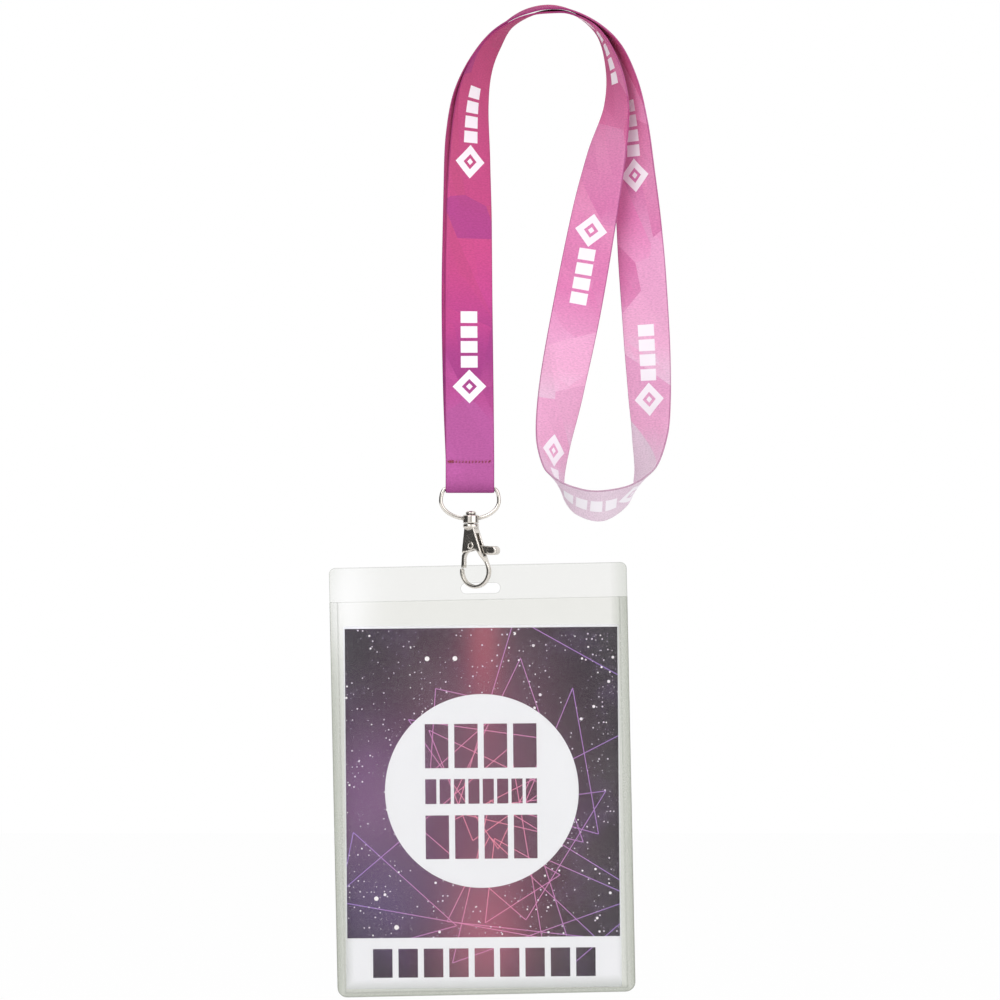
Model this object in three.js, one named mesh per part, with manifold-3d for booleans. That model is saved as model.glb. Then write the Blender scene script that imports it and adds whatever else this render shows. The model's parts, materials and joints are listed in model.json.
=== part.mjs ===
// Lanyard badge holder: a 20 mm printed strap, a D-ring, a swivel trigger hook and a clear pouch
// with a printed card. Millimetres, +X to the wearer's left, +Y towards the wearer's back, +Z up.
// The origin is on the inner face of the strap where it bears on the neck, at the top of the loop.
import * as THREE from 'three';
import { mergeVertices } from 'three/addons/utils/BufferGeometryUtils.js';
import Module from 'manifold-3d';

const wasm = await Module();
wasm.setup();

const DEGREE = Math.PI / 180;

// Strap
const STRAP_WIDTH = 19.6;
const STRAP_THICKNESS = 0.8;
const STRAND_X = -30.3;            // middle of the two strands that hang down to the ring
const BAR_Z = -190.2;              // straight bar of the D-ring, inside the strap's fold
const SEAM_Z = -179.4;             // row of stitches above the fold
const LAYER_PITCH = 1.0;           // centre to centre of the three layers at the seam
const TAIL_LENGTH = 3;             // strap left above the seam at its cut end
const SAMPLES_PER_STATION = 4;

// D-ring
const WIRE_RADIUS = 0.8;
const RING_HALF_BAR = 9.6;
const RING_HALF_WIDTH = 11.7;      // to the middle of the wire
const RING_SHOULDER = 4.8;         // height of the rounded corners
const RING_DEPTH = 12.2;           // from the bar to the bottom of the bow
const FOLD_RADIUS = WIRE_RADIUS + 0.15 + STRAP_THICKNESS / 2;

// Swivel drum and hook, with heights counted from the middle of the drum's cross hole
const SWIVEL_X = -29.9;
const SWIVEL_Z = BAR_Z - RING_DEPTH;
const DRUM_RADIUS = 3.25;
const DRUM_HOLE_RADIUS = 1.2;
const DRUM_HOLE_LIFT = 0.14;       // the hole sits above the wire to clear its curve
const SHANK_RADIUS = 1.1;
const SHANK_BORE_RADIUS = 1.2;
const PEEN_RADIUS = 1.6;
const PEEN_POCKET_RADIUS = 1.75;
const HOOK_TURN = 32 * DEGREE;     // how far the hook hangs turned from the pouch's plane
const COLLAR_RADIUS = 3.2;
const COLLAR_TOP = -1.95;
const HOOK_TOP = -3.5;
const PEEN_POCKET_TOP = -4.3;
const SLOT_TOP = -5.7;
const SLOT_BOTTOM = -14.8;
const SLOT_WIDTH = 2.6;
const BOW_CENTRE = new THREE.Vector2(2.2, -20.95);
const BOW_RADIUS = 6.35;
const BOW_WIRE = 1.4;              // thickness of the bow in the hook's plane
const BOW_HALF_WIDTH = 0.9;        // half its thickness across the hook's plane

// Lever, rivet and spring
const PIVOT = new THREE.Vector2(1, -10.7);
const RIVET_SHANK_RADIUS = 1.05;
const RIVET_BORE_RADIUS = 0.7;
const RIVET_HEAD_RADIUS = 1.55;
const RIVET_HEAD_HEIGHT = 0.35;
const CHEEK_HALF_WIDTH = 2.0;
const RUNNING_GAP = 0.08;
const HUB_RADIUS = 1.9;
const LEVER_HALF_WIDTH = 0.8;
const SPRING_RADIUS = 1.4;
const SPRING_WIRE_RADIUS = 0.14;
const SPRING_TURNS = 3;
const SPRING_PITCH = 0.3;

// Pouch, with places counted from where the hook's bow passes through the slot
const POUCH_TURN = 1.2 * DEGREE;
const POUCH_WIDTH = 120;
const POUCH_HEIGHT = 173;
const SHEET = 0.4;
const POUCH_CENTRE_X = 1.05;
const SLOT_CENTRE_X = 2;           // the slot is punched a little off the pouch's middle
const SLOT_EDGE = 1.25;            // slot's upper edge above the middle of the bow
const SLOT_LENGTH = 15.8;
const SLOT_HEIGHT = 3.9;
const POUCH_TOP = SLOT_EDGE + 7.5;
const POUCH_BOTTOM = POUCH_TOP - POUCH_HEIGHT;
const MOUTH = POUCH_TOP - 13.8;    // upper edge of the front sheet
const TOP_CORNER = 2.6;
const BOTTOM_CORNER = 4;
const WELD_WIDTH = 3.2;            // at the sides
const WELD_FOOT = 1.8;             // along the bottom
const CARD_WIDTH = 111;
const CARD_HEIGHT = 146;
const CARD_THICKNESS = 0.36;
const CARD_TOP = POUCH_TOP - 24.3;
const CARD_TURN = 0.7 * DEGREE;
const SHEET_GAP = 0.1;

// ---------------------------------------------------------------- joining and cutting

function toSolid(geometry) {
  const bare = geometry.clone();
  bare.deleteAttribute('normal');
  bare.deleteAttribute('uv');
  const merged = mergeVertices(bare, 1e-4);
  return new wasm.Manifold(new wasm.Mesh({
    numProp: 3,
    vertProperties: Float32Array.from(merged.attributes.position.array),
    triVerts: Uint32Array.from(merged.index.array),
  }));
}

function toGeometry(solid) {
  const mesh = solid.getMesh();
  const geometry = new THREE.BufferGeometry();
  geometry.setAttribute('position', new THREE.BufferAttribute(mesh.vertProperties, 3));
  geometry.setIndex(new THREE.BufferAttribute(mesh.triVerts, 1));
  geometry.computeVertexNormals();
  return geometry;
}

function join(...geometries) {
  return toGeometry(geometries.map(toSolid).reduce((whole, piece) => whole.add(piece)));
}

function cut(geometry, ...tools) {
  return toGeometry(tools.map(toSolid).reduce((rest, tool) => rest.subtract(tool), toSolid(geometry)));
}

// ---------------------------------------------------------------- small builders

// A flat outline drawn in (X, Z), made solid between two Y values, with rounded-over edges.
function plate(outline, near, far, bevel = 0, curveSegments = 8) {
  const geometry = new THREE.ExtrudeGeometry(outline, {
    depth: far - near - 2 * bevel,
    bevelEnabled: bevel > 0,
    bevelThickness: bevel,
    bevelSize: bevel,
    bevelOffset: -bevel,
    bevelSegments: 2,
    curveSegments,
  });
  geometry.translate(0, 0, near + bevel);
  geometry.rotateX(Math.PI / 2);
  geometry.scale(1, -1, 1);
  return flipFaces(geometry);
}

// A mirrored mesh has its faces inside out, so each triangle's order is turned round.
function flipFaces(geometry) {
  const flat = geometry.index ? geometry.toNonIndexed() : geometry;
  const places = flat.attributes.position;
  const first = new THREE.Vector3();
  const last = new THREE.Vector3();
  for (let corner = 0; corner < places.count; corner += 3) {
    first.fromBufferAttribute(places, corner);
    last.fromBufferAttribute(places, corner + 2);
    places.setXYZ(corner, last.x, last.y, last.z);
    places.setXYZ(corner + 2, first.x, first.y, first.z);
  }
  return flat;
}

function box(low, high) {
  const size = high.map((value, axis) => value - low[axis]);
  const middle = high.map((value, axis) => (value + low[axis]) / 2);
  return new THREE.BoxGeometry(...size).translate(...middle);
}

// A cylinder along Y between two Y values, round the place (x, z).
function crossPin(x, z, radius, near, far, segments = 24) {
  return new THREE.CylinderGeometry(radius, radius, far - near, segments)
    .translate(x, (near + far) / 2, z);
}

// A turned part about the Z axis from (radius, height) points.
function turned(points, segments = 32) {
  const profile = points.map(([radius, height]) => new THREE.Vector2(radius, height));
  return new THREE.LatheGeometry(profile, segments).rotateX(Math.PI / 2);
}

function roundedBox(left, right, bottom, top, lowerCorner, upperCorner) {
  const shape = new THREE.Shape();
  shape.moveTo(left + lowerCorner, bottom);
  shape.lineTo(right - lowerCorner, bottom);
  shape.absarc(right - lowerCorner, bottom + lowerCorner, lowerCorner, -Math.PI / 2, 0);
  shape.lineTo(right, top - upperCorner);
  if (upperCorner > 0) {
    shape.absarc(right - upperCorner, top - upperCorner, upperCorner, 0, Math.PI / 2);
    shape.lineTo(left + upperCorner, top);
    shape.absarc(left + upperCorner, top - upperCorner, upperCorner, Math.PI / 2, Math.PI);
  } else {
    shape.lineTo(left, top);
  }
  shape.lineTo(left, bottom + lowerCorner);
  shape.absarc(left + lowerCorner, bottom + lowerCorner, lowerCorner, Math.PI, 1.5 * Math.PI);
  return shape;
}

// ---------------------------------------------------------------- strap

// Stations along the strap: X, Y, Z of its middle and how far, in degrees, its width is turned
// from the plane of the hanging loop. The strap rises from the ring, crosses the neck, comes
// down, turns under at the far end of the loop and goes back over the neck behind itself.
const FRONT_STRAND = [
  [STRAND_X, -LAYER_PITCH, SEAM_Z, 0],
  [-30.5, -0.9, -154, 4],
  [-30.8, -0.7, -114, 12],
  [-30.7, -0.7, -82, 20],
  [-30.4, -0.6, -57, 33],
  [-29.1, -0.4, -33, 50],
];
const INNER_ARCH = [
  [-25.5, -0.2, -19.4, 64],
  [-20, 0, -9.9, 76],
  [-13.7, 0, -3.2, 90],
  [-6.1, 0, 0.6, 96],
  [2, 0, 2.2, 100],
  [10.5, 0, 1.4, 98],
  [21, 0, -5.7, 90],
  [27.3, 0, -20.2, 76],
];
const INNER_STRAND = [
  [28.7, 0, -36, 61],
  [24.8, -0.5, -55.6, 39],
  [20.4, -1, -77, 23],
  [12.9, -3, -117, 2],
  [6.2, 2, -152.3, -22],
  [3.2, 0.6, -172.8, -46],
];
const LOWER_TURN = [
  [3.8, -2.2, -184.4, -69],
  [6.7, -4.8, -190.6, -98],
  [12.8, -7.3, -195.2, -120],
  [22.6, -8.2, -197.1, -128],
  [34.3, -4.7, -192.3, -106],
  [40.3, -0.4, -183.4, -71],
];
const OUTER_STRAND = [
  [42.5, 3.4, -168.3, -45],
  [42.3, 4.7, -152.3, -31],
  [41.2, 4, -130.7, -20],
  [39.4, 3, -103.8, -17],
  [37.8, 2, -82.4, -25],
  [36.4, 1.5, -63.4, -38],
  [35.2, 1, -43.2, -53],
];
const OUTER_ARCH = [
  [32.9, 0.5, -26.6, -66],
  [28.7, 0, -13.7, -78],
  [22.5, 0, -4.8, -90],
  [10.9, 0, 2.4, -97],
  [2, 0, 4, -101],
  [-6.9, 0, 2.4, -101],
  [-15.4, 0, -2, -96],
  [-22.4, 0, -9.1, -86],
  [-27.7, 0.6, -20.5, -68],
];
const BACK_STRAND = [
  [-31.3, 1, -33, -54],
  [-32.5, 1, -49, -40],
  [-32.2, 1, -74, -26],
  [-32.2, 1, -114, -13],
  [-31.3, 1, -154, -4],
  [STRAND_X, LAYER_PITCH, SEAM_Z, 0],
  [STRAND_X, LAYER_PITCH + 0.1, SEAM_Z - 2.4, 0],
];

// The cut end, hidden behind the front strand, and the half circle round the ring's bar.
function foldStations() {
  const stations = [
    new THREE.Vector3(STRAND_X, 0, SEAM_Z + TAIL_LENGTH),
    new THREE.Vector3(STRAND_X, 0, SEAM_Z),
    new THREE.Vector3(STRAND_X, 0.5, SEAM_Z - 4.5),
  ];
  const steps = 6;
  for (let step = 0; step <= steps; step += 1) {
    const angle = Math.PI * step / steps;
    stations.push(new THREE.Vector3(
      STRAND_X,
      FOLD_RADIUS * Math.cos(angle),
      BAR_Z - FOLD_RADIUS * Math.sin(angle),
    ));
  }
  return stations;
}

// The direction of the strap's width at a station, from its turn and the way the strap runs.
function widthDirection(before, after, turn) {
  const along = after.clone().sub(before).normalize();
  const back = new THREE.Vector3(0, 1, 0).addScaledVector(along, -along.y).normalize();
  const sideways = new THREE.Vector3().crossVectors(back, along);
  return sideways.multiplyScalar(Math.cos(turn)).addScaledVector(back, Math.sin(turn));
}

function strapCurves() {
  const fold = foldStations();
  const loop = [FRONT_STRAND, INNER_ARCH, INNER_STRAND, LOWER_TURN, OUTER_STRAND, OUTER_ARCH,
    BACK_STRAND].flat();
  const places = loop.map(([x, y, z]) => new THREE.Vector3(x, y, z));
  const widths = loop.map(([, , , turn], index) => widthDirection(
    places[Math.max(index - 1, 0)],
    places[Math.min(index + 1, places.length - 1)],
    turn * DEGREE,
  ));
  const foldWidths = fold.map(() => new THREE.Vector3(1, 0, 0));
  return {
    middle: new THREE.CatmullRomCurve3([...fold, ...places]),
    width: new THREE.CatmullRomCurve3([...foldWidths, ...widths]),
    stations: fold.length + places.length,
    apex: fold.length + FRONT_STRAND.length + 4,
  };
}

const strapCurve = strapCurves();

// A place on the strap: how far along it (0 to 1), across it (-0.5 to 0.5) and through it.
function onStrap(along, across, through) {
  const heading = strapCurve.middle.getTangent(along);
  const width = strapCurve.width.getPoint(along);
  width.addScaledVector(heading, -heading.dot(width)).normalize();
  const face = new THREE.Vector3().crossVectors(heading, width);
  return strapCurve.middle.getPoint(along)
    .addScaledVector(width, across * STRAP_WIDTH)
    .addScaledVector(face, through * STRAP_THICKNESS);
}

function ribbon() {
  const samples = (strapCurve.stations - 1) * SAMPLES_PER_STATION;
  const geometry = new THREE.BoxGeometry(1, 1, 1, 1, 1, samples);
  const places = geometry.attributes.position;
  for (let corner = 0; corner < places.count; corner += 1) {
    const place = onStrap(
      places.getZ(corner) + 0.5,
      places.getX(corner),
      places.getY(corner),
    );
    places.setXYZ(corner, place.x, place.y, place.z);
  }
  return geometry;
}

// ---------------------------------------------------------------- seam

const STITCHES = 13;
const STITCH_PITCH = 1.32;
const THREAD = 0.3;
const HOLE_SIZE = 0.56;
const SEAM_START = STRAND_X - 0.2 - STITCHES * STITCH_PITCH / 2;
const SEAM_FACE = LAYER_PITCH + STRAP_THICKNESS / 2 + 0.1;
const LOCK_GAP = 0.1;              // half the gap between the two threads inside the strap

function stitchHoles() {
  const half = HOLE_SIZE / 2;
  const reach = SEAM_FACE + THREAD;
  return Array.from({ length: STITCHES + 1 }, (_, hole) => {
    const x = SEAM_START + hole * STITCH_PITCH;
    return box([x - half, -reach, SEAM_Z - half], [x + half, reach, SEAM_Z + half]);
  });
}

// One thread of the lockstitch: arches over the strap's face with a leg down every hole.
// It is drawn as seen from above, with side -1 at the front of the strap and +1 at its back.
function threadGeometry(side) {
  const half = THREAD / 2;
  const outline = new THREE.Shape();
  const end = SEAM_START + STITCHES * STITCH_PITCH;
  outline.moveTo(SEAM_START - half, LOCK_GAP);
  outline.lineTo(SEAM_START - half, SEAM_FACE + THREAD);
  for (let stitch = 0; stitch < STITCHES; stitch += 1) {
    const middle = SEAM_START + (stitch + 0.5) * STITCH_PITCH;
    outline.quadraticCurveTo(middle, SEAM_FACE + 2 * THREAD, middle + STITCH_PITCH / 2, SEAM_FACE + THREAD);
  }
  outline.lineTo(end + half, SEAM_FACE + THREAD);
  outline.lineTo(end + half, LOCK_GAP);
  for (let stitch = STITCHES; stitch > 0; stitch -= 1) {
    const x = SEAM_START + stitch * STITCH_PITCH;
    outline.lineTo(x - half, LOCK_GAP);
    outline.lineTo(x - half, SEAM_FACE);
    outline.lineTo(x - STITCH_PITCH + half, SEAM_FACE);
    outline.lineTo(x - STITCH_PITCH + half, LOCK_GAP);
  }
  const geometry = new THREE.ExtrudeGeometry(outline, {
    depth: THREAD,
    bevelEnabled: false,
    curveSegments: 4,
  });
  geometry.translate(0, 0, SEAM_Z - half);
  if (side > 0) {
    return geometry;
  }
  geometry.scale(1, -1, 1);
  return flipFaces(geometry);
}

// ---------------------------------------------------------------- D-ring

// The wire's middle line, starting and ending at the butt joint in the middle of the bar.
class RingLine extends THREE.Curve {
  constructor() {
    super();
    const halfJoint = 0.15;
    const bow = RING_DEPTH - RING_SHOULDER;
    this.path = new THREE.Path();
    this.path.moveTo(halfJoint, 0);
    this.path.lineTo(RING_HALF_BAR, 0);
    const corner = RING_HALF_WIDTH - RING_HALF_BAR;
    this.path.absellipse(RING_HALF_BAR, -RING_SHOULDER, corner, RING_SHOULDER, Math.PI / 2, 0, true);
    this.path.absellipse(0, -RING_SHOULDER, RING_HALF_WIDTH, bow, 0, -Math.PI, true);
    this.path.absellipse(-RING_HALF_BAR, -RING_SHOULDER, corner, RING_SHOULDER, Math.PI, Math.PI / 2, true);
    this.path.lineTo(-halfJoint, 0);
  }

  getPoint(along, target = new THREE.Vector3()) {
    const place = this.path.getPoint(along);
    return target.set(place.x, 0, place.y);
  }
}

function ringGeometry() {
  const section = new THREE.Shape();
  section.absarc(0, 0, WIRE_RADIUS, 0, 2 * Math.PI);
  return new THREE.ExtrudeGeometry(section, {
    steps: 72,
    extrudePath: new RingLine(),
    bevelEnabled: false,
    curveSegments: 10,
  });
}

// ---------------------------------------------------------------- swivel drum

function swivelGeometry() {
  const peenTop = PEEN_POCKET_TOP - 0.2;
  const drum = turned([
    [0, -5.4],
    [PEEN_RADIUS - 0.4, -5.4],
    [PEEN_RADIUS, -5],
    [PEEN_RADIUS, peenTop],
    [SHANK_RADIUS, peenTop],
    [SHANK_RADIUS, -1.75],
    [2.9, -1.75],
    [DRUM_RADIUS, -1.4],
    [DRUM_RADIUS, 1.3],
    [2.9, 1.65],
    [1.7, 1.75],
    [2.1, 2.1],
    [2.1, 2.7],
    [1.5, 3.2],
    [0, 3.2],
  ]);
  const hole = new THREE.CylinderGeometry(DRUM_HOLE_RADIUS, DRUM_HOLE_RADIUS, 4 * DRUM_RADIUS, 24)
    .rotateZ(Math.PI / 2)
    .translate(0, 0, DRUM_HOLE_LIFT);
  return cut(drum, hole);
}

// ---------------------------------------------------------------- hook body

// The whole silhouette in the hook's plane: cheeks, right arm, bow and nose.
function hookOutline() {
  const outer = BOW_RADIUS + BOW_WIRE / 2;
  const inner = BOW_RADIUS - BOW_WIRE / 2;
  const { x, y } = BOW_CENTRE;
  const outline = new THREE.Shape();
  outline.moveTo(-1.9, HOOK_TOP);
  outline.lineTo(2.4, HOOK_TOP);
  outline.lineTo(6.2, -14);
  outline.bezierCurveTo(6.9, -15.8, x + outer, y + 3, x + outer, y);
  outline.absarc(x, y, outer, 0, -Math.PI, true);
  outline.lineTo(x - outer + 0.15, y + 0.7);
  outline.quadraticCurveTo(x - BOW_RADIUS, y + 1.1, x - inner - 0.15, y + 0.7);
  outline.lineTo(x - inner, y);
  outline.absarc(x, y, inner, -Math.PI, 0, false);
  outline.bezierCurveTo(x + inner, y + 2.8, 5.6, -15.9, 4, -13.1);
  outline.quadraticCurveTo(3.4, -12, 2, -12.5);
  outline.lineTo(-3.1, -13.8);
  outline.lineTo(-2.8, -10.7);
  outline.lineTo(-1.9, HOOK_TOP);
  return outline;
}

// The hook seen from its edge, in (Y, Z): flat cheeks, then a taper that ends inside the
// slimmer bow.
function hookEdgeOutline() {
  const halfWidths = [
    [CHEEK_HALF_WIDTH, HOOK_TOP],
    [CHEEK_HALF_WIDTH, -13],
    [1.7, SLOT_BOTTOM],
    [BOW_HALF_WIDTH - 0.3, -17.8],
  ];
  const mirrored = halfWidths.map(([width, height]) => [-width, height]).reverse();
  return new THREE.Shape([...halfWidths, ...mirrored].map((pair) => new THREE.Vector2(...pair)));
}

function hookGeometry() {
  const slim = plate(hookOutline(), -BOW_HALF_WIDTH, BOW_HALF_WIDTH, 0.28, 10);
  const edgeOn = plate(hookEdgeOutline(), -12, 12).rotateZ(-Math.PI / 2);
  const cheeks = toGeometry(toSolid(plate(hookOutline(), -4, 4, 0, 10)).intersect(toSolid(edgeOn)));
  const silhouette = join(slim, cheeks);
  const collar = turned([
    [0, HOOK_TOP - 0.6],
    [2, HOOK_TOP - 0.6],
    [COLLAR_RADIUS - 0.4, HOOK_TOP - 0.1],
    [COLLAR_RADIUS, HOOK_TOP + 0.3],
    [COLLAR_RADIUS, COLLAR_TOP - 0.3],
    [COLLAR_RADIUS - 0.3, COLLAR_TOP],
    [0, COLLAR_TOP],
  ]);
  const shankBore = turned([
    [0, PEEN_POCKET_TOP - 0.5],
    [SHANK_BORE_RADIUS, PEEN_POCKET_TOP - 0.5],
    [SHANK_BORE_RADIUS, 0],
    [0, 0],
  ]);
  const peenPocket = turned([
    [0, SLOT_TOP - 1],
    [PEEN_POCKET_RADIUS, SLOT_TOP - 1],
    [PEEN_POCKET_RADIUS, PEEN_POCKET_TOP],
    [0, PEEN_POCKET_TOP],
  ]);
  const leverSlot = box([-8, -SLOT_WIDTH / 2, SLOT_BOTTOM], [10, SLOT_WIDTH / 2, SLOT_TOP]);
  const rivetBore = crossPin(PIVOT.x, PIVOT.y, RIVET_SHANK_RADIUS + RUNNING_GAP, -4, 4);
  return cut(join(silhouette, collar), shankBore, peenPocket, leverSlot, rivetBore);
}

// ---------------------------------------------------------------- lever, rivet and spring

function leverOutline() {
  const gateEnd = BOW_CENTRE.y + 1.15;
  const outline = new THREE.Shape();
  outline.absarc(PIVOT.x, PIVOT.y, HUB_RADIUS, 0.4 * Math.PI, 1.05 * Math.PI);
  outline.lineTo(-2.7, -13.4);
  outline.quadraticCurveTo(-4, -14, -4, -15.4);
  outline.lineTo(-4.3, gateEnd + 0.3);
  outline.quadraticCurveTo(-4.3, gateEnd, -4, gateEnd);
  outline.lineTo(-2.8, gateEnd);
  outline.quadraticCurveTo(-2.5, gateEnd, -2.5, gateEnd + 0.3);
  outline.lineTo(-2.4, -15.6);
  outline.quadraticCurveTo(-2, -13.4, 1, -12.6);
  outline.quadraticCurveTo(4, -12.4, 6.4, -14.2);
  outline.lineTo(10.4, -14.4);
  outline.quadraticCurveTo(12.9, -14.3, 12.9, -12.8);
  outline.quadraticCurveTo(12.8, -11, 10.2, -10.9);
  outline.quadraticCurveTo(5, -10.9, 3, -10);
  return outline;
}

function leverGeometry() {
  const arms = plate(leverOutline(), -LEVER_HALF_WIDTH, LEVER_HALF_WIDTH, 0.2, 6);
  const hubFace = -0.15;
  const springRoom = crossPin(PIVOT.x, PIVOT.y, HUB_RADIUS + 0.3, hubFace, 2);
  const hub = crossPin(PIVOT.x, PIVOT.y, HUB_RADIUS, -1.15, hubFace);
  const pad = roundedBox(8.3, 12.9, -14.4, -10.9, 1.5, 1.5);
  const thumbPad = plate(pad, -1.9, 1.9, 0.5, 6);
  const bore = crossPin(PIVOT.x, PIVOT.y, RIVET_SHANK_RADIUS + RUNNING_GAP, -4, 4);
  return cut(join(cut(arms, springRoom), hub, thumbPad), bore);
}

// A hollow rivet: a tube through both cheeks with a rolled head on each side.
function rivetGeometry() {
  const face = CHEEK_HALF_WIDTH + 0.05;
  const top = face + RIVET_HEAD_HEIGHT;
  const half = [
    [RIVET_SHANK_RADIUS, face],
    [RIVET_HEAD_RADIUS, face],
    [RIVET_HEAD_RADIUS - 0.1, top - 0.1],
    [RIVET_BORE_RADIUS + 0.25, top],
    [RIVET_BORE_RADIUS, top - 0.2],
  ];
  const mirrored = half.map(([radius, height]) => [radius, -height]).reverse();
  const loop = [...mirrored, ...half, mirrored[0]];
  return turned(loop, 24).rotateX(Math.PI / 2).translate(PIVOT.x, 0, PIVOT.y);
}

// Middle line of the torsion spring: one leg down from the slot's roof, three turns round the
// rivet and one leg resting on top of the lever's arm, which it presses down.
function springLine() {
  const points = [];
  const stepsPerTurn = 14;
  const start = 0.05;
  const place = (angle, depth) => new THREE.Vector3(
    PIVOT.x + SPRING_RADIUS * Math.cos(angle),
    depth,
    PIVOT.y + SPRING_RADIUS * Math.sin(angle),
  );
  points.push(new THREE.Vector3(PIVOT.x + SPRING_RADIUS, start, SLOT_TOP - 0.4));
  for (let step = 0; step <= SPRING_TURNS * stepsPerTurn - stepsPerTurn / 4; step += 1) {
    const angle = -2 * Math.PI * step / stepsPerTurn;
    points.push(place(angle, start + SPRING_PITCH * step / stepsPerTurn));
  }
  const last = points[points.length - 1];
  points.push(new THREE.Vector3(last.x + 2.6, last.y, last.z - 0.3));
  return new THREE.CatmullRomCurve3(points);
}

function springGeometry() {
  const section = new THREE.Shape();
  section.absarc(0, 0, SPRING_WIRE_RADIUS, 0, 2 * Math.PI);
  return new THREE.ExtrudeGeometry(section, {
    steps: 96,
    extrudePath: springLine(),
    bevelEnabled: false,
    curveSegments: 6,
  });
}

// ---------------------------------------------------------------- pouch and card

const POUCH_LEFT = POUCH_CENTRE_X - POUCH_WIDTH / 2;
const POUCH_RIGHT = POUCH_CENTRE_X + POUCH_WIDTH / 2;
const BACK_FACE = -SHEET / 2;      // front face of the back sheet
const CARD_BACK = BACK_FACE - SHEET_GAP;
const CARD_FRONT = CARD_BACK - CARD_THICKNESS;
const PANEL_BACK = CARD_FRONT - SHEET_GAP;

function backSheetGeometry() {
  const outline = roundedBox(POUCH_LEFT, POUCH_RIGHT, POUCH_BOTTOM, POUCH_TOP, BOTTOM_CORNER, TOP_CORNER);
  const radius = SLOT_HEIGHT / 2;
  const half = SLOT_LENGTH / 2;
  const slot = roundedBox(
    SLOT_CENTRE_X - half,
    SLOT_CENTRE_X + half,
    SLOT_EDGE - SLOT_HEIGHT,
    SLOT_EDGE,
    radius,
    radius,
  );
  outline.holes.push(slot);
  return plate(outline, -SHEET / 2, SHEET / 2);
}

// The front sheet stands forward over the card and is welded to the back sheet round its rim.
function frontSheetGeometry() {
  const weldFace = BACK_FACE - 0.05;
  const rim = roundedBox(POUCH_LEFT, POUCH_RIGHT, POUCH_BOTTOM, MOUTH, BOTTOM_CORNER, 0);
  const flange = plate(rim, weldFace - SHEET, weldFace);
  const insideWeld = (grow, top) => roundedBox(
    POUCH_LEFT + WELD_WIDTH - grow,
    POUCH_RIGHT - WELD_WIDTH + grow,
    POUCH_BOTTOM + WELD_FOOT - grow,
    top,
    0.5 + grow,
    0,
  );
  const panel = plate(insideWeld(SHEET, MOUTH), PANEL_BACK - SHEET, weldFace - 0.1);
  const room = plate(insideWeld(0, MOUTH + 1), PANEL_BACK, 1);
  return cut(join(flange, panel), room);
}

function cardGeometry() {
  const half = CARD_WIDTH / 2;
  return box([-half, CARD_FRONT, -CARD_HEIGHT / 2], [half, CARD_BACK, CARD_HEIGHT / 2]);
}

// ---------------------------------------------------------------- assembly

const PRINTED = { color: 0xd0458f, roughness: 0.75, metalness: 0 };
const THREADS = { color: 0xa0286a, roughness: 0.8, metalness: 0 };
const NICKEL = { color: 0xc9c6c0, roughness: 0.22, metalness: 1 };
const SPRING_STEEL = { color: 0x9a9a9c, roughness: 0.35, metalness: 1 };
const VINYL = { color: 0xecebe8, roughness: 0.25, metalness: 0, transparent: true, opacity: 0.5 };
const PAPER = { color: 0x54405a, roughness: 0.6, metalness: 0 };

function part(name, geometry, look) {
  const mesh = new THREE.Mesh(geometry, new THREE.MeshStandardMaterial(look));
  mesh.name = name;
  return mesh;
}

const strap = part('strap', cut(ribbon(), ...stitchHoles()), PRINTED);
const needleThread = part('needle_thread', threadGeometry(-1), THREADS);
const bobbinThread = part('bobbin_thread', threadGeometry(1), THREADS);

const ring = part('d_ring', ringGeometry(), NICKEL);
ring.position.set(STRAND_X, 0, BAR_Z);

const swivel = new THREE.Group();
swivel.position.set(SWIVEL_X, 0, SWIVEL_Z);
swivel.add(part('swivel_drum', swivelGeometry(), NICKEL));

const hook = new THREE.Group();
hook.position.copy(swivel.position);
hook.rotation.z = -HOOK_TURN;
hook.add(
  part('hook_body', hookGeometry(), NICKEL),
  part('trigger_lever', leverGeometry(), NICKEL),
  part('lever_rivet', rivetGeometry(), NICKEL),
  part('lever_spring', springGeometry(), SPRING_STEEL),
);

// The pouch hangs from the lowest point of the bow's middle line.
const pouch = new THREE.Group();
pouch.position.set(
  SWIVEL_X + BOW_CENTRE.x * Math.cos(HOOK_TURN),
  -BOW_CENTRE.x * Math.sin(HOOK_TURN),
  SWIVEL_Z + BOW_CENTRE.y - BOW_RADIUS,
);
pouch.rotation.y = -POUCH_TURN;
const card = part('insert_card', cardGeometry(), PAPER);
card.position.set(POUCH_CENTRE_X - 0.1, 0, CARD_TOP - CARD_HEIGHT / 2);
card.rotation.y = CARD_TURN;
pouch.add(
  part('back_sheet', backSheetGeometry(), VINYL),
  part('front_sheet', frontSheetGeometry(), VINYL),
  card,
);

// The origin is the middle of one facet of the strap's inner face at the top of the inner arch.
const span = 1 / ((strapCurve.stations - 1) * SAMPLES_PER_STATION);
const apex = strapCurve.apex * SAMPLES_PER_STATION * span;
const neckRest = onStrap(apex, -0.5, -0.5)
  .add(onStrap(apex, 0.5, -0.5))
  .add(onStrap(apex + span, 0.5, -0.5))
  .divideScalar(3);

const group = new THREE.Group();
group.add(strap, needleThread, bobbinThread, ring, swivel, hook, pouch);
group.position.copy(neckRest).negate();
group.updateMatrixWorld(true);

export default group;
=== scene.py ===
"""Looks for the lanyard badge holder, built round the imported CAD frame.

Lengths in the drawing sections are in millimetres and become metres in add_piece.
"""
import json
import math
import random

import bmesh
import bpy
import numpy as np
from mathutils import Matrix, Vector
from mathutils.geometry import delaunay_2d_cdt


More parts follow.
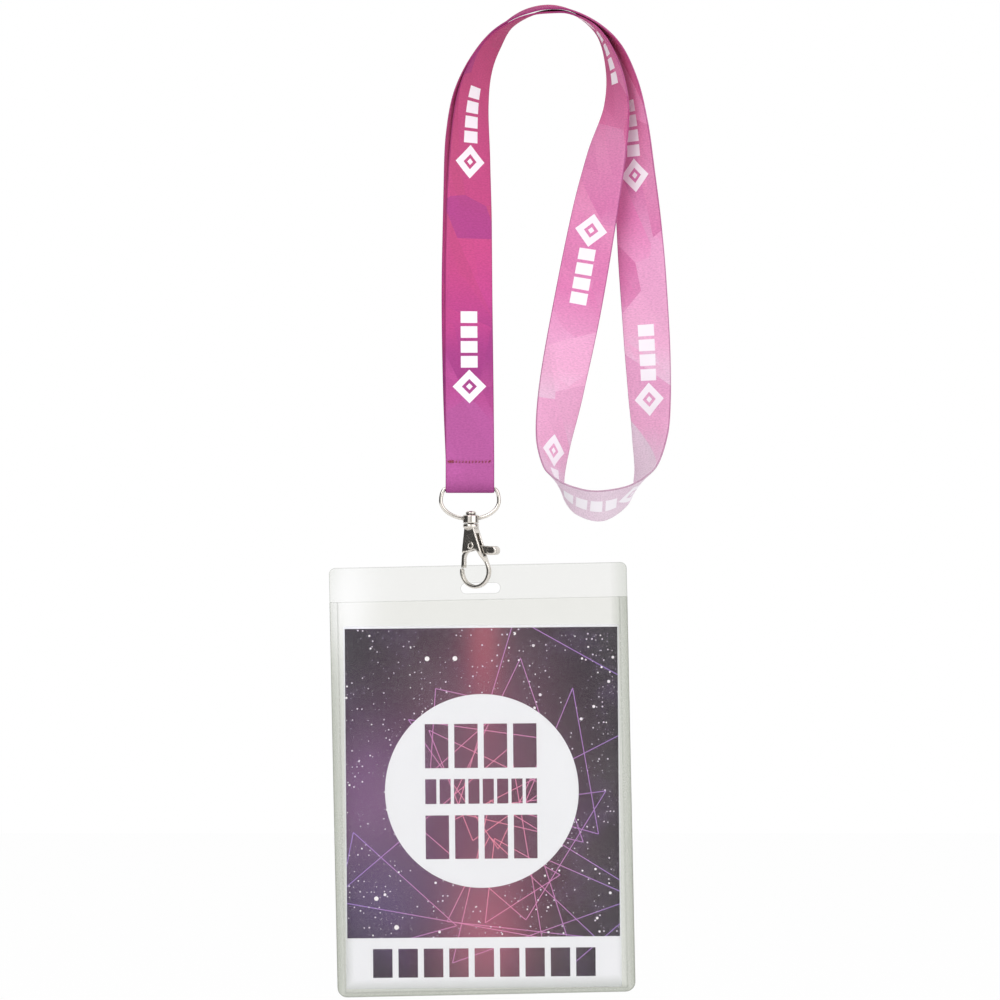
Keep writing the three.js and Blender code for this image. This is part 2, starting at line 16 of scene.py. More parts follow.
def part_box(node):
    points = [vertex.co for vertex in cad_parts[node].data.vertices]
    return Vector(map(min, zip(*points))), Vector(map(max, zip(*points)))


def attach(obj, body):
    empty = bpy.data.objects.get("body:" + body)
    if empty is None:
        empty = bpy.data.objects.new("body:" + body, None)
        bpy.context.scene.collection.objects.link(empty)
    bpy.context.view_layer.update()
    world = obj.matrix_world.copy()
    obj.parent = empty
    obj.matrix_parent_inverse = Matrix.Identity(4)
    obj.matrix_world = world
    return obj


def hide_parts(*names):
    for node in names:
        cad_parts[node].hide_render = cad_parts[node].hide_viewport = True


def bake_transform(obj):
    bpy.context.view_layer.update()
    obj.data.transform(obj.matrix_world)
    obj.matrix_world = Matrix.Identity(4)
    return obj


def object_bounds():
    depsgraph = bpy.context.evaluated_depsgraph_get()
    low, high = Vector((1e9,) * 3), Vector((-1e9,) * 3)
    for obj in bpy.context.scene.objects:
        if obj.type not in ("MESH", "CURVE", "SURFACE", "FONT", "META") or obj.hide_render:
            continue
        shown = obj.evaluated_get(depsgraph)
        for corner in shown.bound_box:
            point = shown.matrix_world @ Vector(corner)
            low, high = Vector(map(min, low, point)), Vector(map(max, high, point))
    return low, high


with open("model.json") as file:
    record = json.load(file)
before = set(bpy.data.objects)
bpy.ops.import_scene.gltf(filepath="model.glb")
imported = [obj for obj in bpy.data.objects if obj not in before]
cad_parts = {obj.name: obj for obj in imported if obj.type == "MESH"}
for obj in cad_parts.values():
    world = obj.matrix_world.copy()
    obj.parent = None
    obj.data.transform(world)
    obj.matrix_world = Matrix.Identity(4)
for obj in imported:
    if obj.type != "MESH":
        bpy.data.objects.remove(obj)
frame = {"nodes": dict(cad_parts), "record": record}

MM = 0.001
BACKWARD = np.array((0, 1, 0))
cad_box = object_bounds()
joints = {joint["name"]: joint for joint in frame["record"]["behaviour"]["joints"]}


def joint_place(name):
    """A joint's place in millimetres."""
    return np.array(joints[name]["pos_m"]) / MM


def node_box(name):
    """A CAD node's lowest and highest corners in millimetres."""
    low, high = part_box(name)
    return np.array(low) / MM, np.array(high) / MM


# -------- mesh helpers

def new_object(name, data):
    """An object linked into the scene."""
    made = bpy.data.objects.new(name, data)
    bpy.context.scene.collection.objects.link(made)
    return made


def add_piece(name, node, points, faces, look, body, uvs=None, smooth=True):
    """A mesh piece from points in millimetres, in a CAD node's place and riding on its body."""
    mesh = bpy.data.meshes.new(name)
    mesh.from_pydata((np.asarray(points) * MM).tolist(), [], faces)
    mesh.validate()
    if uvs is not None:
        layer = mesh.uv_layers.new(name="ribbon")
        for loop in mesh.loops:
            layer.data[loop.index].uv = uvs[loop.vertex_index]
    mesh.materials.append(look)
    mesh.polygons.foreach_set("use_smooth", [smooth] * len(mesh.polygons))
    piece = new_object(name, mesh)
    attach(piece, body)
    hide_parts(node)
    return piece


def tube_faces(rings, sides):
    """Quads round a tube of rings, with one face across each end."""
    faces = []
    for ring in range(rings - 1):
        here = ring * sides
        there = here + sides
        for side in range(sides):
            after = (side + 1) % sides
            faces.append((here + side, there + side, there + after, here + after))
    last = (rings - 1) * sides
    faces.append(tuple(range(sides)))
    faces.append(tuple(last + side for side in reversed(range(sides))))
    return faces


def tube(path, radius, sides=10):
    """Points and faces of a round tube along a path. radius is a number or one for each point."""
    path = np.asarray(path, float)
    radii = np.broadcast_to(radius, len(path))
    along = np.gradient(path, axis=0)
    along /= np.linalg.norm(along, axis=1)[:, None]
    side = np.cross(along[0], (0.31, 0.87, 0.39))
    points = []
    for place, heading, size in zip(path, along, radii):
        side = side - (side @ heading) * heading
        side /= np.linalg.norm(side)
        other = np.cross(side, heading)
        for step in range(sides):
            angle = math.tau * step / sides
            points.append(place + size * (math.cos(angle) * side + math.sin(angle) * other))
    return points, tube_faces(len(path), sides)


def gather(parts):
    """Several (points, faces) pairs as one."""
    points, faces = [], []
    for more_points, more_faces in parts:
        start = len(points)
        points.extend(more_points)
        faces.extend(tuple(start + corner for corner in face) for face in more_faces)
    return points, faces


# -------- node helper

class Graph:
    """A node tree under construction: each call adds a node and gives back its output."""

    def __init__(self, tree):
        self.tree = tree

    def feed(self, socket, value):
        if isinstance(value, bpy.types.NodeSocket):
            self.tree.links.new(value, socket)
        elif isinstance(value, (tuple, list)) and len(value) == 3 and socket.type == "RGBA":
            socket.default_value = (*value, 1)
        else:
            socket.default_value = value

    def node(self, kind, inputs=None, settings=None):
        made = self.tree.nodes.new("ShaderNode" + kind)
        for key, value in (settings or {}).items():
            setattr(made, key, value)
        for key, value in (inputs or {}).items():
            self.feed(made.inputs[key], value)
        return made

    def math(self, operation, *values, clamp=False):
        made = self.node("Math", None, {"operation": operation, "use_clamp": clamp})
        for socket, value in zip(made.inputs, values):
            self.feed(socket, value)
        return made.outputs[0]

    def plus(self, one, other, clamp=False):
        return self.math("ADD", one, other, clamp=clamp)

    def minus(self, one, other, clamp=False):
        return self.math("SUBTRACT", one, other, clamp=clamp)

    def times(self, one, other, clamp=False):
        return self.math("MULTIPLY", one, other, clamp=clamp)

    def above(self, value, limit):
        """1 where value is greater than limit, else 0."""
        return self.math("GREATER_THAN", value, limit)

    def below(self, value, limit):
        """1 where value is less than limit, else 0."""
        return self.math("LESS_THAN", value, limit)

    def most(self, values):
        largest = values[0]
        for value in values[1:]:
            largest = self.math("MAXIMUM", largest, value)
        return largest

    def within(self, value, low, high):
        """1 where value lies between low and high, else 0."""
        return self.times(self.above(value, low), self.below(value, high))

    def join(self, x, y, z=0.0):
        return self.node("CombineXYZ", {"X": x, "Y": y, "Z": z}).outputs[0]

    def split(self, vector):
        return self.node("SeparateXYZ", {"Vector": vector}).outputs

    def mix(self, factor, one, other, blend="MIX"):
        made = self.node("Mix", None, {"data_type": "RGBA", "blend_type": blend})
        self.feed(made.inputs[0], factor)
        self.feed(made.inputs[6], one)
        self.feed(made.inputs[7], other)
        return made.outputs[2]

    def ramp(self, factor, stops):
        made = self.node("ValToRGB", {"Fac": factor})
        elements = made.color_ramp.elements
        while len(elements) < len(stops):
            elements.new(0.5)
        for element, (place, colour) in zip(elements, stops):
            element.position = place
            element.color = (*colour, 1)
        return made.outputs[0]

    def noise(self, vector, scale, detail=2.0, roughness=0.5):
        inputs = {"Vector": vector, "Scale": scale, "Detail": detail, "Roughness": roughness}
        return self.node("TexNoise", inputs).outputs[0]

    def cells(self, vector, size):
        inputs = {"Vector": vector, "Scale": 1 / size}
        return self.node("TexVoronoi", inputs, {"voronoi_dimensions": "2D", "feature": "F1"}).outputs

    def blend(self, factor, one, other, output="Material Output"):
        """Makes the tree put out a mix of two shaders."""
        mixed = self.node("MixShader", {0: factor, 1: one, 2: other})
        self.feed(self.tree.nodes[output].inputs["Surface"], mixed.outputs[0])


class Look(Graph):
    """A material round one Principled shader."""

    def __init__(self, name, **values):
        self.material = bpy.data.materials.new(name)
        self.material.use_nodes = True
        super().__init__(self.material.node_tree)
        self.surface = self.tree.nodes["Principled BSDF"]
        for socket, value in values.items():
            self.set(socket.replace("_", " "), value)

    def set(self, name, value):
        self.feed(self.surface.inputs[name], value)

    def place(self):
        """The piece's own coordinates in metres."""
        return self.node("TexCoord").outputs["Object"]

    def measured(self, origin, right, up):
        """How far right of and above the origin each place lies, in mm."""
        ends = {0: self.place(), 1: tuple(origin * MM)}
        place = self.node("VectorMath", ends, {"operation": "SUBTRACT"}).outputs[0]
        sides = []
        for direction in (right, up):
            dot = self.node("VectorMath", {0: place, 1: tuple(direction)}, {"operation": "DOT_PRODUCT"})
            sides.append(self.times(dot.outputs["Value"], 1 / MM))
        return sides

    def bump(self, height, distance, strength=1.0, normal=None):
        made = self.node("Bump", {"Height": height, "Distance": distance, "Strength": strength})
        if normal is not None:
            self.feed(made.inputs["Normal"], normal)
        self.set("Normal", made.outputs[0])


def srgb(*screen):
    """A linear colour from red, green and blue between 0 and 255."""
    shares = [value / 255 for value in screen]
    return tuple(part / 12.92 if part <= 0.04045 else ((part + 0.055) / 1.055) ** 2.4 for part in shares)


# -------- the strap's path

STRAP_WIDTH = 19.6
STRAP_THICKNESS = 0.8
STRAND_X = -30.3
BAR_Z = -190.2
SEAM_Z = -179.4
LAYER_PITCH = 1.0
FOLD_RADIUS = 1.35
FOLD_STEPS = 6
TAIL_RISE = 3             # from the seam up to the cut end behind the front strand
TAIL_PARTING = 4.5        # from the seam down to where the tail leaves the front strand
SAMPLES_PER_STATION = 26

# Stations along the strap, the same ones that shape the CAD strap: X, Y, Z of its middle and
# how many degrees its width is turned from the plane of the hanging loop.
STATIONS = (
    # front strand
    (STRAND_X, -LAYER_PITCH, SEAM_Z, 0),
    (-30.5, -0.9, -154, 4),
    (-30.8, -0.7, -114, 12),
    (-30.7, -0.7, -82, 20),
    (-30.4, -0.6, -57, 33),
    (-29.1, -0.4, -33, 50),
    # inner arch
    (-25.5, -0.2, -19.4, 64),
    (-20, 0, -9.9, 76),
    (-13.7, 0, -3.2, 90),
    (-6.1, 0, 0.6, 96),
    (2, 0, 2.2, 100),
    (10.5, 0, 1.4, 98),
    (21, 0, -5.7, 90),
    (27.3, 0, -20.2, 76),
    # inner strand
    (28.7, 0, -36, 61),
    (24.8, -0.5, -55.6, 39),
    (20.4, -1, -77, 23),
    (12.9, -3, -117, 2),
    (6.2, 2, -152.3, -22),
    (3.2, 0.6, -172.8, -46),
    # lower turn
    (3.8, -2.2, -184.4, -69),
    (6.7, -4.8, -190.6, -98),
    (12.8, -7.3, -195.2, -120),
    (22.6, -8.2, -197.1, -128),
    (34.3, -4.7, -192.3, -106),
    (40.3, -0.4, -183.4, -71),
    # outer strand
    (42.5, 3.4, -168.3, -45),
    (42.3, 4.7, -152.3, -31),
    (41.2, 4, -130.7, -20),
    (39.4, 3, -103.8, -17),
    (37.8, 2, -82.4, -25),
    (36.4, 1.5, -63.4, -38),
    (35.2, 1, -43.2, -53),
    # outer arch
    (32.9, 0.5, -26.6, -66),
    (28.7, 0, -13.7, -78),
    (22.5, 0, -4.8, -90),
    (10.9, 0, 2.4, -97),
    (2, 0, 4, -101),
    (-6.9, 0, 2.4, -101),
    (-15.4, 0, -2, -96),
    (-22.4, 0, -9.1, -86),
    (-27.7, 0.6, -20.5, -68),
    # back strand
    (-31.3, 1, -33, -54),
    (-32.5, 1, -49, -40),
    (-32.2, 1, -74, -26),
    (-32.2, 1, -114, -13),
    (-31.3, 1, -154, -4),
    (STRAND_X, LAYER_PITCH, SEAM_Z, 0),
    (STRAND_X, LAYER_PITCH + 0.1, SEAM_Z - 2.4, 0),
)


def fold_places():
    """The cut end behind the front strand and the half circle round the ring's bar."""
    places = [
        (STRAND_X, 0, SEAM_Z + TAIL_RISE),
        (STRAND_X, 0, SEAM_Z),
        (STRAND_X, 0.5, SEAM_Z - TAIL_PARTING),
    ]
    for step in range(FOLD_STEPS + 1):
        angle = math.pi * step / FOLD_STEPS
        places.append((
            STRAND_X,
            FOLD_RADIUS * math.cos(angle),
            BAR_Z - FOLD_RADIUS * math.sin(angle),
        ))
    return places


def width_direction(before, after, turn):
    """The direction of the strap's width, from its turn and the way the strap runs."""
    along = (after - before) / np.linalg.norm(after - before)
    back = BACKWARD - along[1] * along
    back /= np.linalg.norm(back)
    return math.cos(turn) * np.cross(back, along) + math.sin(turn) * back


def centripetal(stations, samples):
    """Points on a centripetal Catmull-Rom curve, samples to each span."""
    stations = np.asarray(stations, float)
    ends = (2 * stations[0] - stations[1], 2 * stations[-1] - stations[-2])
    knots = np.vstack((ends[0], stations, ends[1]))
    result = []
    for span in range(len(stations) - 1):
        a, b, c, d = knots[span:span + 4]
        steps = [math.sqrt(np.linalg.norm(end - start)) for start, end in ((a, b), (b, c), (c, d))]
        middle = steps[1] if steps[1] > 1e-4 else 1.0
        first, last = (step if step > 1e-4 else middle for step in (steps[0], steps[2]))
        leave = ((b - a) / first - (c - a) / (first + middle) + (c - b) / middle) * middle
        arrive = ((c - b) / middle - (d - b) / (middle + last) + (d - c) / last) * middle
        for sample in range(samples):
            t = sample / samples
            result.append(
                b + leave * t
                + (3 * (c - b) - 2 * leave - arrive) * t ** 2
                + (2 * (b - c) + leave + arrive) * t ** 3
            )
    result.append(stations[-1])
    return np.array(result)


def strap_frames():
    """Middle, width direction, face direction and length so far at each ring of the strap."""
    fold = fold_places()
    loop = np.array([station[:3] for station in STATIONS], float)
    widths = [(1, 0, 0)] * len(fold)
    for index, station in enumerate(STATIONS):
        before = loop[max(index - 1, 0)]
        after = loop[min(index + 1, len(loop) - 1)]
        widths.append(width_direction(before, after, math.radians(station[3])))
    middle = centripetal(np.vstack((fold, loop)), SAMPLES_PER_STATION)
    width = centripetal(widths, SAMPLES_PER_STATION)
    along = np.gradient(middle, axis=0)
    along /= np.linalg.norm(along, axis=1)[:, None]
    width -= np.sum(along * width, axis=1)[:, None] * along
    width /= np.linalg.norm(width, axis=1)[:, None]
    lengths = np.linalg.norm(np.diff(middle, axis=0), axis=1)
    return middle, width, np.cross(along, width), np.concatenate(((0,), np.cumsum(lengths)))


strap_middle, strap_width, strap_face, strap_length = strap_frames()
strap_edges = np.vstack([
    strap_middle + side * STRAP_WIDTH / 2 * strap_width + through * STRAP_THICKNESS / 2 * strap_face
    for side in (-1, 1) for through in (-1, 1)
])
strap_low, strap_high = node_box("strap")
OFFSET = (strap_low + strap_high - strap_edges.min(axis=0) - strap_edges.max(axis=0)) / 2
strap_middle = strap_middle + OFFSET
FOLD_COUNT = len(fold_places())
TURN_COUNT = FOLD_COUNT - 1 - FOLD_STEPS // 2
FOLD_LENGTH = float(strap_length[FOLD_COUNT * SAMPLES_PER_STATION])
TURN_LENGTH = float(strap_length[TURN_COUNT * SAMPLES_PER_STATION])  # to the lowest place, under the bar


# -------- printed ribbon

MARK_PITCH = 90.6         # from one printed diamond to the next
MARK_START = 59.3         # length along the strap of the first diamond's middle
BACK_MARK_START = 471     # the same for the back of the strap, printed the other way round
DIAMOND = 6.8
BAR_COUNT = 4
BAR_LENGTH = 4.7
BAR_GAP = 1.3
BAR_REACH = 7.6           # from the diamond's middle to the first bar
BAR_HALF_WIDTH = 3.4
FACET_SIZE = 30
FACET_SLANT = 0.8         # how far a patch climbs for each mm across
VIOLET_FROM = 90          # distance from the ring at which violet patches begin
FOLD_SHADE = 4            # half width of the painted shade band under the fold
SELVEDGE = 0.35
WEFT_PITCH = 0.42
WARP_PITCH = 0.36

# Print colours: distance from the ring in mm, then red, green and blue.
PRINT_COLOURS = (
    (0, 191, 92, 164),
    (16, 191, 90, 162),
    (26, 188, 74, 148),
    (40, 168, 56, 136),
    (54, 176, 58, 138),
    (64, 198, 66, 142),
    (80, 206, 72, 138),
    (125, 204, 78, 130),
    (150, 184, 58, 112),
    (190, 180, 58, 112),
    (225, 204, 80, 136),
    (250, 230, 122, 174),
    (285, 238, 150, 196),
    (310, 228, 128, 184),
    (335, 240, 168, 210),
    (375, 243, 178, 214),
    (395, 241, 212, 232),
    (431, 242, 222, 236),
)


def printed_marks(look, along, across):
    """A hollow diamond and four plain bars, repeated along the ribbon."""
    phase = look.math("FLOORED_MODULO", look.plus(along, MARK_PITCH / 2), MARK_PITCH)
    ahead = look.minus(phase, MARK_PITCH / 2)
    sideways = look.math("ABSOLUTE", across)
    reach = look.plus(look.math("ABSOLUTE", ahead), sideways)
    diamond = look.within(reach, DIAMOND * 0.45, DIAMOND)
    dot = look.below(reach, DIAMOND * 0.2)
    step = look.minus(ahead, BAR_REACH)
    in_bar = look.below(look.math("FLOORED_MODULO", step, BAR_LENGTH + BAR_GAP), BAR_LENGTH)
    in_word = look.within(step, 0, BAR_COUNT * (BAR_LENGTH + BAR_GAP))
    in_height = look.below(sideways, BAR_HALF_WIDTH)
    bars = look.times(look.times(in_bar, in_word), in_height)
    return look.most([diamond, dot, bars])


def facets(look, across, along, size, stretch):
    """Straight-edged patches of random value, slanted across the ribbon."""
    slanted = look.plus(along, look.times(across, FACET_SLANT))
    return look.cells(look.join(look.times(across, stretch), slanted), size)["Color"]


def ribbon_look():
    look = Look("printed_ribbon", Specular_IOR_Level=0.12, Sheen_Weight=0.03, Sheen_Roughness=0.4)
    across, along, _ = look.split(look.node("UVMap", None, {"uv_map": "ribbon"}).outputs[0])
    front = look.node("Attribute", None, {"attribute_name": "front_face"}).outputs["Fac"]
    total = float(strap_length[-1])
    from_start = look.minus(along, FOLD_LENGTH)
    from_ring = look.math("MINIMUM", from_start, look.minus(total, along))
    red, green, blue = look.split(facets(look, across, along, FACET_SIZE, 1.2))
    fine, light, _ = look.split(facets(look, across, along, FACET_SIZE / 2.2, 0.9))
    spread = look.plus(12, look.math("MINIMUM", look.times(from_ring, 0.3), 30))
    shift = look.times(look.minus(red, 0.5), spread)
    shift = look.plus(shift, look.times(look.minus(fine, 0.5), 8))
    furthest = PRINT_COLOURS[-1][0]
    reach = look.math("DIVIDE", look.plus(from_ring, shift), furthest, clamp=True)
    ground = look.ramp(reach, [(place / furthest, srgb(*colour)) for place, *colour in PRINT_COLOURS])
    far_up = look.above(from_ring, VIOLET_FROM)
    violet = look.times(look.above(blue, 0.6), far_up)
    violet = look.times(violet, look.minus(0.6, reach), clamp=True)
    ground = look.mix(violet, ground, srgb(120, 40, 140))
    shade = look.plus(0.88, look.times(green, 0.12))
    shade = look.plus(shade, look.times(light, 0.05))
    # Painted shade: the colour darkens in a band where the strap turns under the ring's bar.
    painted_fold_shade = look.times(look.minus(along, TURN_LENGTH), 1 / FOLD_SHADE)
    painted_fold_shade = look.math("EXPONENT", look.times(look.times(painted_fold_shade, painted_fold_shade), -1))
    ground = look.mix(1.0, ground, look.join(shade, shade, shade), "MULTIPLY")
    ground = look.mix(look.times(painted_fold_shade, 0.6), ground, srgb(112, 18, 92))
    grain = look.noise(look.join(across, along), 2.2, 4, 0.65)
    threads = look.noise(look.join(look.times(across, 0.5), along), 1.8, 2, 0.6)
    speckle = look.minus(look.times(threads, 1.4), 0.5, clamp=True)
    ground = look.mix(speckle, ground, look.mix(0.45, ground, srgb(90, 10, 70)))
    ground = look.mix(look.times(grain, 0.05), ground, srgb(255, 235, 248))
    edge = look.above(look.math("ABSOLUTE", across), STRAP_WIDTH / 2 - SELVEDGE)
    ground = look.mix(look.times(edge, 0.5), ground, srgb(130, 40, 100))
    white = look.mix(0.05, srgb(248, 243, 249), ground)
    face_on = printed_marks(look, look.minus(along, MARK_START), across)
    behind = printed_marks(look, look.minus(BACK_MARK_START, along), across)
    on_front = look.above(front, 0.5)
    marks = look.times(face_on, on_front)
    marks = look.plus(marks, look.times(behind, look.minus(1, on_front)))
    look.set("Base Color", look.mix(marks, ground, white))
    weft = look.math("SINE", look.times(along, math.tau / WEFT_PITCH))
    warp = look.math("SINE", look.times(across, math.tau / WARP_PITCH))
    weave = look.plus(look.times(weft, warp), look.times(grain, 1.2))
    look.bump(weave, 0.00004, 0.6)
    look.set("Roughness", look.plus(0.6, look.times(grain, 0.2)))
    return look.material


def ribbon_profile():
    """The strap's cross-section: (across, through) round the ribbon, with beaded selvedges."""
    half = STRAP_WIDTH / 2
    thick = STRAP_THICKNESS / 2
    flat = half - 0.9
    profile = []
    for across in np.linspace(-flat, flat, 15):
        profile.append((across, thick))
    profile.append((half - 0.55, thick * 0.72))
    for step in range(5):
        angle = math.pi * (0.5 - step / 4)
        profile.append((half - 0.3 + 0.3 * math.cos(angle), thick * 0.9 * math.sin(angle)))
    profile.append((half - 0.55, -thick * 0.72))
    right = len(profile)
    for across in np.linspace(flat, -flat, 15):
        profile.append((across, -thick))
    for across, through in reversed(profile[15:right]):
        profile.append((-across, through))
    return profile


def build_strap(look):
    profile = ribbon_profile()
    points, uvs, front = [], [], []
    for middle, width, face, length in zip(strap_middle, strap_width, strap_face, strap_length):
        for across, through in profile:
            points.append(middle + across * width + through * face)
            uvs.append((across, length))
            front.append(1.0 if through < 0 else 0.0)
    faces = tube_faces(len(strap_middle), len(profile))
    strap = add_piece("ribbon", "strap", points, faces, look, "strap", uvs)
    strap.data.attributes.new("front_face", "FLOAT", "POINT").data.foreach_set("value", front)


# -------- seam

STITCHES = 13
STITCH_PITCH = 1.32
STITCH_INSET = 0.45       # from each end of a stitch's share of the seam to its hole
STITCH_LEAN = 0.42        # a stitch's ends lie this far below and above the seam's middle
STITCH_STRAY = 0.06
STITCH_STEPS = 8
BACKTACKS = ((0.3, 0.15), (-0.28, 0.3), (0.05, -0.3))  # how far up and along each row starts
BACKTACK_LENGTH = 0.95
BACKTACK_CLIMB = 0.15
BACKTACK_PITCH = 0.8      # as a share of the stitches' pitch
THREAD_RADIUS = 0.24
THREAD_ARCH = 0.12        # added to the thread's radius for its rise between holes
TWIST_PITCH = 0.22


def thread_look():
    look = Look("sewing_thread", Roughness=0.6, Sheen_Weight=0.4)
    place = look.place()
    x, _, z = look.split(place)
    twist = look.math("SINE", look.times(look.plus(x, z), math.tau / (TWIST_PITCH * MM)))
    grain = look.noise(place, 2500, 3)
    # Painted shade and light along the twist: the colour darkens in the grooves between the plies and
    # lightens on their crests.
    shade = look.plus(0.5, look.times(twist, 0.25))
    colour = look.mix(shade, srgb(140, 10, 56), srgb(186, 28, 84))
    look.set("Base Color", look.mix(look.times(grain, 0.3), colour, srgb(110, 15, 50)))
    look.bump(twist, 0.00006, 0.8)
    return look.material


def stitch(start, end, face_y, side):
    """One stitch from hole to hole, arched over the strap's face on the given side."""
    path, radii = [], []
    for step in range(STITCH_STEPS + 1):
        t = step / STITCH_STEPS
        arch = math.sin(math.pi * t)
        lift = arch ** 0.6 * (THREAD_RADIUS + THREAD_ARCH)
        x = start[0] + (end[0] - start[0]) * t
        z = start[1] + (end[1] - start[1]) * t
        path.append((x, face_y + side * (lift - THREAD_RADIUS * 0.6), z))
        radii.append(THREAD_RADIUS * (0.75 + 0.25 * arch))
    return tube(path, radii, 8)


def build_seam(look):
    low, _ = node_box("needle_thread")
    middle_z = SEAM_Z + OFFSET[2]
    first = low[0] + 0.15
    last = first + STITCHES * STITCH_PITCH
    for name, side in (("needle_thread", -1), ("bobbin_thread", 1)):
        chance = random.Random(5 + side)
        ends = []
        for index in range(STITCHES):
            x = first + index * STITCH_PITCH
            lean = STITCH_LEAN + chance.uniform(-STITCH_STRAY, STITCH_STRAY)
            start = (x + STITCH_INSET, middle_z - lean)
            end = (x + STITCH_PITCH - STITCH_INSET, middle_z + lean)
            ends.append((start, end))
        for lift, shift in BACKTACKS:
            for index in range(2):
                x = first + shift + index * STITCH_PITCH * BACKTACK_PITCH
                z = middle_z + lift
                ends.append(((x, z), (x + BACKTACK_LENGTH, z + BACKTACK_CLIMB)))
        ends.append(((last - 0.9, middle_z + 0.3), (last + 0.05, middle_z + 0.42)))
        face_y = OFFSET[1] + side * (LAYER_PITCH + STRAP_THICKNESS / 2)
        points, faces = gather([stitch(start, end, face_y, side) for start, end in ends])
        add_piece("seam_" + name, name, points, faces, look, "strap")


# -------- metal

RING_SHOULDER = 4.8       # height of the quarter ellipse between the ring's bar and its bow
SHOULDER_STEPS = 12
BOW_STEPS = 32


def metal_look(name, colour, roughness, cast=0.0, rounding=0.2):
    """Bright plated metal with faint scratches, painted shade in its recesses and between parts and, on
    castings, a slightly uneven skin.
    rounding is how far, in mm, the polishing has turned the edges over."""
    look = Look(name, Metallic=1.0)
    place = look.place()
    broad = look.noise(place, 260, 3)
    fine = look.noise(place, 2400, 4, 0.7)
    stretched = look.node("Mapping", {"Vector": place, "Scale": (900, 900, 6000)}).outputs[0]
    scratches = look.noise(stretched, 1.0, 2)
    worn = look.plus(look.times(broad, 0.12), look.times(scratches, 0.08))
    look.set("Roughness", look.plus(roughness - 0.08, worn))
    tint = look.mix(look.times(broad, 0.5), colour, tuple(value * 0.86 for value in colour))
    # Painted shade: the colour darkens towards near black in recesses and between parts, where ambient
    # occlusion finds them.
    recess_shade = look.node("AmbientOcclusion", {"Distance": 0.0014}, {"samples": 6}).outputs["AO"]
    shaded = look.math("POWER", recess_shade, 1.6)
    look.set("Base Color", look.mix(shaded, tuple(value * 0.12 for value in colour), tint))
    height = look.plus(look.times(broad, cast), look.times(fine, 0.15))
    polished = look.node("Bevel", {"Radius": rounding * MM}, {"samples": 6})
    look.bump(height, 0.00006, 0.5, polished.outputs[0])
    return look.material


def build_ring(look):
    low, high = node_box("d_ring")
    wire = (high[1] - low[1]) / 2
    middle = (low + high) / 2
    bar_z = high[2] - wire
    half_width = (high[0] - low[0]) / 2 - wire
    depth = high[2] - low[2] - 2 * wire
    half_bar = STRAP_WIDTH / 2 - 0.2
    corner = half_width - half_bar
    half = [(0.1, 0), (half_bar * 0.5, 0)]
    for step in range(SHOULDER_STEPS + 1):
        angle = math.pi / 2 * (1 - step / SHOULDER_STEPS)
        half.append((half_bar + corner * math.cos(angle), RING_SHOULDER * (math.sin(angle) - 1)))
    for step in range(1, BOW_STEPS + 1):
        angle = -math.pi / 2 * step / BOW_STEPS
        drop = (depth - RING_SHOULDER) * math.sin(angle)
        half.append((half_width * math.cos(angle), -RING_SHOULDER + drop))
    other = [(-x, z) for x, z in reversed(half[:-1])]
    path = [(middle[0] + x, middle[1], bar_z + z) for x, z in half + other]
    points, faces = tube(path, wire, 20)
    add_piece("ring_wire", "d_ring", points, faces, look, "ring")


def soften(node, name, body, look, voxel, rounds, plating=0.0):
    """The CAD piece as a plated casting: its own shape with every edge rounded over.
    plating is how far the surface stands off the CAD one, in mm."""
    source = frame["nodes"][node]
    piece = new_object(name, source.data.copy())
    piece.matrix_world = source.matrix_world
    piece.data.materials.clear()
    piece.data.materials.append(look)
    weld = bmesh.new()
    weld.from_mesh(piece.data)
    bmesh.ops.remove_doubles(weld, verts=weld.verts, dist=1e-6)
    weld.to_mesh(piece.data)
    weld.free()
    modify(piece, "REMESH", mode="VOXEL", voxel_size=voxel * MM, use_smooth_shade=True)
    if plating:
        modify(piece, "DISPLACE", strength=plating * MM, mid_level=0)
    modify(piece, "SMOOTH", factor=0.5, iterations=rounds)
    bake_modifiers(piece)
    if body:
        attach(piece, body)
    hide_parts(node)
    return piece


def modify(piece, kind, **settings):
    made = piece.modifiers.new(kind, kind)
    for key, value in settings.items():
        setattr(made, key, value)


def bake_modifiers(piece):
    """Turns the piece's modifiers into plain mesh."""
    bpy.context.view_layer.update()
    shaped = piece.evaluated_get(bpy.context.evaluated_depsgraph_get())
    mesh = bpy.data.meshes.new_from_object(shaped)
    piece.modifiers.clear()
    piece.data = mesh
    mesh.polygons.foreach_set("use_smooth", [True] * len(mesh.polygons))


def build_hardware():
    nickel = metal_look("nickel_plate", srgb(228, 222, 214), 0.13, 0.3)
    casting = metal_look("nickel_casting", srgb(230, 224, 216), 0.15, 0.5, rounding=0.8)
    steel = metal_look("spring_steel", srgb(168, 168, 170), 0.3)
    build_ring(nickel)
    soften("swivel_drum", "swivel_head", "swivel", nickel, 0.09, 4)
    soften("hook_body", "hook_casting", "hook", casting, 0.09, 6, plating=0.03)
    soften("trigger_lever", "lever_casting", "lever", casting, 0.09, 6)
    soften("lever_rivet", "rivet_shell", "hook", nickel, 0.05, 4)
    spring = soften("lever_spring", "torsion_spring", None, steel, 0.05, 3)
    # One end of the coil stays with the hook and the other is wound by the lever.
    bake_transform(spring)


# -------- pouch

